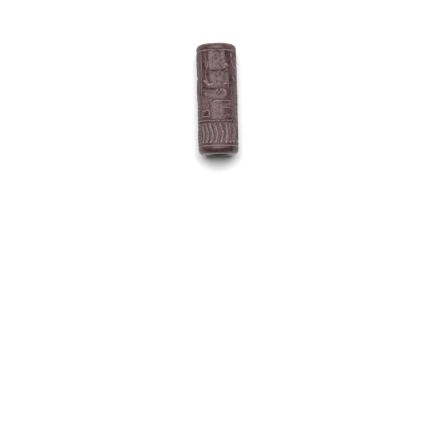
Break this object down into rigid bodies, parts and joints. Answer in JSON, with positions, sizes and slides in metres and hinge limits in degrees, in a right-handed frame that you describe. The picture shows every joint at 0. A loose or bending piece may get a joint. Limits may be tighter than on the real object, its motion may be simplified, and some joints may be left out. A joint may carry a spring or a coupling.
{
  "type": "cylinder seal",
  "caption": "Small barrel of dark polished stone, bored from end to end, with a frieze of figures cut into its side between ruled lines.",
  "frame": {"origin": "middle of the narrow resting flat on the underside, halfway along the seal", "axes": "+Y along the seal's own axis, towards the upper end of the frieze; +Z up, through the seated figure; +X to the right when looking down on it with +Y up"},
  "size_m": [0.0102, 0.0278, 0.0101],
  "materials": {
    "seal_stone": "dark red-brown iron stone, polished and worn, with matt paler cuts"
  },
  "bodies": {
    "root": {"seal_body": "seal_stone"}
  },
  "joints": []
}
